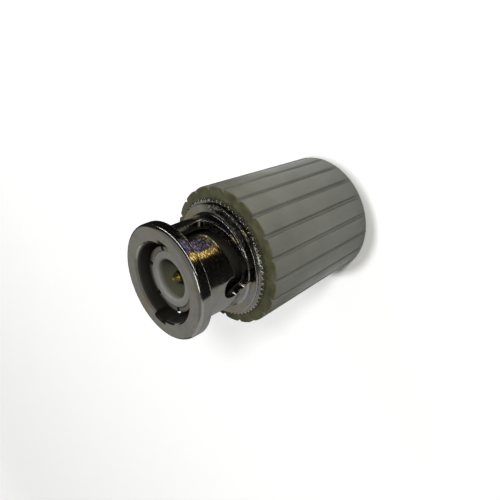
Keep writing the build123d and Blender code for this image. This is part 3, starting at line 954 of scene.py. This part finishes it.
def makeContact():
    inside = contact["rootRadius"] - contact["wall"]
    bulge = contact["tipRadius"] - contact["rootRadius"]
    bulgeZ = contactHigh.z - contact["tipLength"]
    outline = roundedOutline([
        (inside, contactLow.z, 0),
        (contact["rootRadius"], contactLow.z, 0),
        (contact["rootRadius"], bulgeZ - bulge, 0),
        (contact["tipRadius"], bulgeZ, contact["edge"]),
        (contact["tipRadius"], contactHigh.z, contact["edge"]),
        (inside, contactHigh.z, contact["edge"]),
    ], arcSteps=4)
    made = turned("contactSleeve", splitRuns(outline, contact["step"]), evenAngles(contact["columns"]))
    # the cutter is a bar that stands well clear of the wall on both sides and above
    bar = bmesh.new()
    place = Vector((contact["rootRadius"], 0, contactHigh.z))
    size = Vector(((contact["tipRadius"] - inside) * 3, contact["slotWidth"], 2 * contact["slotLength"]))
    bmesh.ops.create_cube(bar, size=1, matrix=Matrix.LocRotScale(place, None, size))
    cutter = objectFrom(bar, "contactCutter")
    addTree(made, cutAround, {
        "Cutter": cutter,
        "Copies": contact["slots"],
        "First Angle": math.radians(contact["firstSlotAngle"]),
        "Material": contactNickel,
    })
    plainMesh(made)
    bpy.data.objects.remove(cutter)
    return made


insulator = {
    "radius": 3.54 * mm,
    "boreRadius": 2.5 * mm,
    "boreLength": 5.6 * mm,
    "pinHoleRadius": 0.92 * mm,
    "collarHoleRadius": 1.52 * mm,
    "collarHoleLength": 0.6 * mm,
    "outerEdge": 0.15 * mm,
    "boreEdge": 0.3 * mm,
    "floorEdge": 0.5 * mm,
    "columns": 120,
    "step": 0.8 * mm,
}
boreFloorZ = insulatorHigh.z - insulator["boreLength"]


def makeInsulator():
    collarHoleZ = insulatorLow.z + insulator["collarHoleLength"]
    outline = roundedOutline([
        (insulator["pinHoleRadius"], boreFloorZ, 0),
        (insulator["boreRadius"], boreFloorZ, insulator["floorEdge"]),
        (insulator["boreRadius"], insulatorHigh.z, insulator["boreEdge"]),
        (insulator["radius"], insulatorHigh.z, insulator["outerEdge"]),
        (insulator["radius"], insulatorLow.z, 0),
        (insulator["collarHoleRadius"], insulatorLow.z, 0),
        (insulator["collarHoleRadius"], collarHoleZ, 0),
        (insulator["pinHoleRadius"], collarHoleZ, 0),
    ], arcSteps=6)
    made = turned("insulatorCup", splitRuns(outline, insulator["step"]), evenAngles(insulator["columns"]))
    made.data.materials.append(fluoroplastic)
    return plainMesh(made)


pin = {
    "radius": 0.675 * mm,
    "shankRadius": 0.9 * mm,
    "collarRadius": 1.5 * mm,
    "collarLength": 0.6 * mm,
    "cupRadius": 1.0 * mm,
    "cupHoleRadius": 0.45 * mm,
    "cupHoleLength": 2.2 * mm,
    "tipRadius": 0.28 * mm,
    "tipLength": 0.8 * mm,
    "tipBend": 0.5 * mm,
    "tipStart": 8,
    "columns": 64,
    "step": 0.8 * mm,
}


def makePin():
    collarTop = insulatorLow.z + pin["collarLength"]
    cupFloor = pinLow.z + pin["cupHoleLength"]
    ballCentre = Vector((0, pinHigh.z - pin["tipRadius"]))
    ball = arcPoints(ballCentre, pin["tipRadius"], pin["tipStart"], 90, steps=7)
    outline = roundedOutline([
        (0, cupFloor, 0),
        (pin["cupHoleRadius"], cupFloor, 0),
        (pin["cupHoleRadius"], pinLow.z, 0),
        (pin["cupRadius"], pinLow.z, 0),
        (pin["cupRadius"], insulatorLow.z, 0),
        (pin["collarRadius"], insulatorLow.z, 0),
        (pin["collarRadius"], collarTop, 0),
        (pin["shankRadius"], collarTop, 0),
        (pin["shankRadius"], boreFloorZ, 0),
        (pin["radius"], boreFloorZ, 0),
        (pin["radius"], pinHigh.z - pin["tipLength"], pin["tipBend"]),
        (ball[0].x, ball[0].y, 0),
    ], arcSteps=5)[:-1] + ball
    outline[-1].x = 0
    made = turned("pinBody", splitRuns(outline, pin["step"], closed=False), evenAngles(pin["columns"]))
    made.data.materials.append(goldPlate)
    return plainMesh(made)


contactSleeve, insulatorCup, pinBody = makeContact(), makeInsulator(), makePin()
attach(contactSleeve, "core")
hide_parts("outer_contact")
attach(insulatorCup, "core")
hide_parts("front_insulator")
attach(pinBody, "core")
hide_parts("centre_pin")
print("contact, insulator and pin made")

# Wave washers: two wavy spring rings, made in their resting shape; the real ones go flat as the core is
# pushed back
wave = {
    "innerRadius": 4.76 * mm,
    "thickness": 0.2 * mm,
    "height": 0.55 * mm,
    "waves": 3,
    "gap": 0.02 * mm,
    "columns": 96,
}


def makeWave(name, node, sign):
    low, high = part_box(node)
    inner, outer, thickness = wave["innerRadius"], high.x, wave["thickness"]
    section = ((inner, 0), (outer, 0), (outer, thickness), (inner, thickness))
    swing = (wave["height"] - thickness - wave["gap"]) / 2
    solid = bmesh.new()
    columns = []
    for turn in evenAngles(wave["columns"]):
        z = low.z + swing * (1 + sign * math.cos(wave["waves"] * turn))
        columns.append([solid.verts.new(atAngle((radius, z + lift), turn)) for radius, lift in section])
    for column, following in zip(columns, columns[1:] + columns[:1]):
        joinRows(solid, column, following)
    made = objectFrom(solid, name)
    made.data.materials.append(springSteel)
    return plainMesh(made)


for pieceName, node, sign in (("waveRear", "wave_washer_rear", 1), ("waveFront", "wave_washer_front", -1)):
    washer = makeWave(pieceName, node, sign)
    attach(washer, "coupling")
    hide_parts(node)
    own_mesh(washer)

# The other CAD nodes keep their shape and get a finish
finishes = {
    "retaining_ring": springSteel,
    "thrust_washer": springSteel,
    "plug_body": contactNickel,
    "gasket": gasketRubber,
    "rear_insulator": fluoroplastic,
    "front_solder": softSolder,
    "front_lead": tinnedWire,
    "rear_lead": tinnedWire,
    "resistor_rod": ceramicBody,
    "resistor_cap_front": tinnedWire,
    "resistor_cap_rear": tinnedWire,
    "end_cap": contactNickel,
    "rear_solder": softSolder,
}
for node, material in finishes.items():
    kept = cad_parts[node]
    kept.data.materials.clear()
    kept.data.materials.append(material)
print("finishes given to", len(finishes), "nodes")

# Camera at the photograph's viewing angle, rolled so that the plug points down to the left
view = {
    "place": (-0.68 * mm, -61.90 * mm, 62.85 * mm),
    "right": (-0.4133, -0.5591, -0.7187),
    "up": (0.9106, -0.2538, -0.3262),
    "forward": (0.0, 0.7893, -0.6140),
    "lens": 43.16,
}


def makeCamera():
    data = bpy.data.cameras.new("studioCamera")
    data.sensor_width = 36
    data.lens = view["lens"]
    data.clip_start = 1 * mm
    data.clip_end = 10
    camera = newObject("studioCamera", data)
    right, up, forward = (Vector(view[key]).normalized() for key in ("right", "up", "forward"))
    axes = Matrix((right, up, -forward)).transposed()
    camera.matrix_world = Matrix.Translation(view["place"]) @ axes.to_4x4()
    scene.camera = camera


# Floor that curves up into a low round wall; it glows, except close to the plug's foot, where the glow fades
# as a painted shadow
stage = {
    "floorRadius": 260 * mm,
    "wallRadius": 120 * mm,
    "wallHeight": 150 * mm,
    "columns": 96,
    "bendSteps": 12,
    "colour": (0.86, 0.86, 0.85),
    "glow": 0.5,
    "glowStart": 8.0 * mm,
    "glowEnd": 9.8 * mm,
    "footShadowMiddle": (-0.9 * mm, -0.5 * mm, 0),
    "world": (0.17, 0.172, 0.165),
}


def floorMaterial():
    material = emptyMaterial("floorPaper")
    tree = material.node_tree
    rays = tree.nodes.new("ShaderNodeLightPath").outputs
    seen = calc(tree, "MAXIMUM", rays["Is Camera Ray"], rays["Is Glossy Ray"])
    seen = calc(tree, "MAXIMUM", seen, rays["Is Transmission Ray"])
    paper = addNode(tree, "ShaderNodeBsdfDiffuse", {"Color": (*stage["colour"], 1)}).outputs[0]
    # painted shadow: the glow fades out round a point set beside the foot
    offset = {0: objectPoint(tree), 1: stage["footShadowMiddle"]}
    shifted = addNode(tree, "ShaderNodeVectorMath", offset, operation="SUBTRACT").outputs[0]
    x, y, _ = axesOf(tree, shifted)
    limits = {
        "Value": axisDistance(tree, x, y),
        "From Min": stage["glowStart"],
        "From Max": stage["glowEnd"],
        "To Max": stage["glow"],
    }
    strength = addNode(tree, "ShaderNodeMapRange", limits, interpolation_type="SMOOTHSTEP").outputs[0]
    inputs = {"Color": (1, 1, 1, 1), "Strength": calc(tree, "MULTIPLY", seen, strength)}
    glow = addNode(tree, "ShaderNodeEmission", inputs).outputs[0]
    both = addNode(tree, "ShaderNodeAddShader", {0: paper, 1: glow}).outputs[0]
    addNode(tree, "ShaderNodeOutputMaterial", {"Surface": both})
    return material


def makeFloor():
    floor = stage["floorRadius"]
    bendCentre = Vector((floor, stage["wallRadius"]))
    bend = arcPoints(bendCentre, stage["wallRadius"], -90, 0, stage["bendSteps"])
    outline = [*bend, Vector((bend[-1].x, stage["wallHeight"]))]
    solid = bmesh.new()
    centre = solid.verts.new((0, 0, 0))
    columns = []
    for angle in evenAngles(stage["columns"]):
        columns.append([solid.verts.new(atAngle(p, angle)) for p in outline])
    for column, following in zip(columns, columns[1:] + columns[:1]):
        solid.faces.new((centre, column[0], following[0]))
        joinRows(solid, column, following, closed=False)
    made = objectFrom(solid, "studioFloor", outward=False)
    made.data.shade_smooth()
    made.data.materials.append(floorMaterial())


# Cards round the plug that show only in reflections: direction from the axis in degrees,
# reach and level in millimetres at the near and far side, and glow
cardSteps = 24
cards = {
    "darkFloor": {"turn": (213, 465), "reach": (20, 150), "level": (0.3, 0.3), "glow": (0.010, 0.010, 0.009)},
    "darkWall": {"turn": (213, 410), "reach": (150, 152), "level": (0.3, 150), "glow": (0.016, 0.016, 0.015)},
    "skyPanel": {"turn": (50, 130), "reach": (300, 302), "level": (70, 300), "glow": (0.24, 0.235, 0.215)},
    "darkBack": {"turn": (50, 130), "reach": (150, 299), "level": (0.3, 69), "glow": (0.030, 0.031, 0.028)},
    "greySide": {"turn": (105, 213), "reach": (20, 150), "level": (0.3, 0.3), "glow": (0.25, 0.25, 0.24)},
    "greyWall": {"turn": (130, 213), "reach": (150, 152), "level": (0.3, 150), "glow": (0.34, 0.34, 0.33)},
    "warmFront": {"turn": (283, 296), "reach": (40, 64), "level": (0.5, 0.5), "glow": (1.6, 1.14, 0.38)},
    "violetFront": {"turn": (299, 326), "reach": (43, 64), "level": (0.5, 0.5), "glow": (0.32, 0.29, 0.52)},
    "warmRear": {"turn": (294, 350), "reach": (24, 36), "level": (0.5, 0.5), "glow": (0.95, 0.78, 0.30)},
    "paleStrip": {"turn": (17, 21), "reach": (26, 37), "level": (0.5, 0.5), "glow": (1.2, 1.2, 1.2)},
    "spark": {"turn": (225, 265), "reach": (84, 96), "level": (90, 118), "glow": (3.5, 3.5, 3.1)},
    "horizon": {"turn": (260, 370), "reach": (148, 148), "level": (24, 36), "glow": (3.0, 3.0, 3.0)},
}


def makeCard(name, card):
    first, last = (math.radians(turn) for turn in card["turn"])
    solid = bmesh.new()
    rows = []
    for k in range(cardSteps + 1):
        turn = first + (last - first) * k / cardSteps
        ends = [Vector(atAngle(end, turn)) * mm for end in zip(card["reach"], card["level"])]
        rows.append([solid.verts.new(end) for end in ends])
    for row, following in zip(rows, rows[1:]):
        joinRows(solid, row, following, closed=False)
    made = objectFrom(solid, name, outward=False)
    material = emptyMaterial(name)
    tree = material.node_tree
    light = addNode(tree, "ShaderNodeEmission", {"Color": (*card["glow"], 1), "Strength": 1.0})
    addNode(tree, "ShaderNodeOutputMaterial", {"Surface": light.outputs[0]})
    made.data.materials.append(material)
    made.visible_camera = False
    made.visible_diffuse = False
    made.visible_shadow = False
    made.visible_transmission = False


# Soft lamps: place and size in millimetres, power in watts
lamps = {
    "key": {"at": (74, -262, 236), "size": 64, "power": 0.76, "colour": (1.0, 0.99, 0.97)},
    "side": {"at": (260, 0, 150), "size": 160, "power": 0.27, "colour": (0.98, 0.99, 1.0)},
    "fill": {"at": (-240, -160, 120), "size": 220, "power": 0.06, "colour": (0.97, 0.98, 1.0)},
}


def makeLamps():
    for name, lamp in lamps.items():
        data = bpy.data.lights.new(name, "AREA")
        data.shape = "DISK"
        data.size = lamp["size"] * mm
        data.energy = lamp["power"]
        data.color = lamp["colour"]
        made = newObject(name + "Lamp", data)
        made.visible_glossy = False
        made.location = Vector(lamp["at"]) * mm
        aim = Vector((0, 0, mouthZ / 2)) - made.location
        made.rotation_euler = aim.to_track_quat("-Z", "Y").to_euler()


def makeWorld():
    world = bpy.data.worlds.new("studioWorld")
    scene.world = world
    world.use_nodes = True
    world.node_tree.nodes["Background"].inputs["Color"].default_value = (*stage["world"], 1)


makeCamera()
makeFloor()
for name, card in cards.items():
    makeCard(name, card)
makeLamps()
makeWorld()
scene.view_settings.view_transform = "Standard"
print("camera, floor, cards and lamps made")
